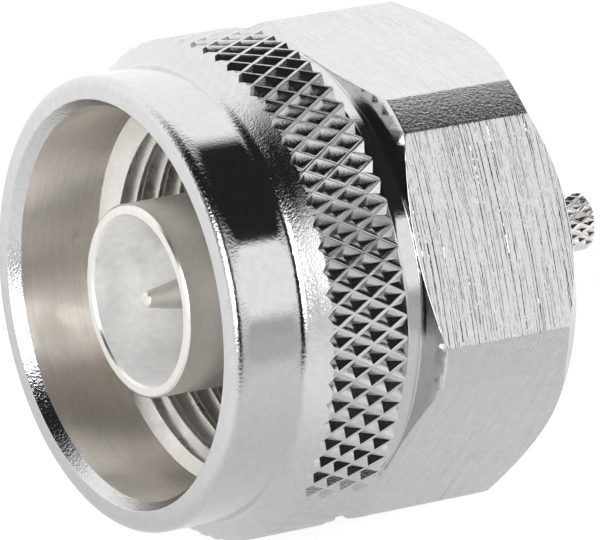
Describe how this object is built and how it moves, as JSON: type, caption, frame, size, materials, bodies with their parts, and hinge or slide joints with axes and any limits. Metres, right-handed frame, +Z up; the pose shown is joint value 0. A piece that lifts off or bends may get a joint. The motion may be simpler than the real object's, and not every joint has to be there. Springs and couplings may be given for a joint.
{
  "type": "coaxial plug",
  "caption": "Straight N coaxial plug, bright nickel, with a knurled hexagonal coupling nut, a bare contact sleeve and pin, and a thin knurled crimp neck for cable.",
  "frame": {"origin": "centre of the contact sleeve's front face, on the axis, where two connectors meet", "axes": "+X along the axis from the mating end to the cable, +Z up and square to the flat of the nut that faces up"},
  "size_m": [0.0234, 0.021, 0.021],
  "materials": {
    "nickel": "bright nickel plate on turned and milled brass",
    "white_bronze": "satin white bronze plate on turned brass",
    "contact_plate": "satin plate on turned brass",
    "spring_bronze": "plain spring bronze",
    "white_polymer": "turned white fluoropolymer",
    "gasket_rubber": "moulded silicone rubber"
  },
  "bodies": {
    "connector_body": {"contact_sleeve_body": "white_bronze", "retaining_ring": "spring_bronze", "gasket": "gasket_rubber", "centre_contact": "contact_plate", "front_insulator": "white_polymer", "rear_insulator": "white_polymer", "crimp_body": "white_bronze"},
    "coupling_nut": {"coupling_nut": "nickel"}
  },
  "joints": [
    {"name": "nut_spin", "type": "hinge", "parent": "connector_body", "child": "coupling_nut", "pos_m": [0.0133, 0, 0], "axis": [1, 0, 0], "continuous": true}
  ]
}
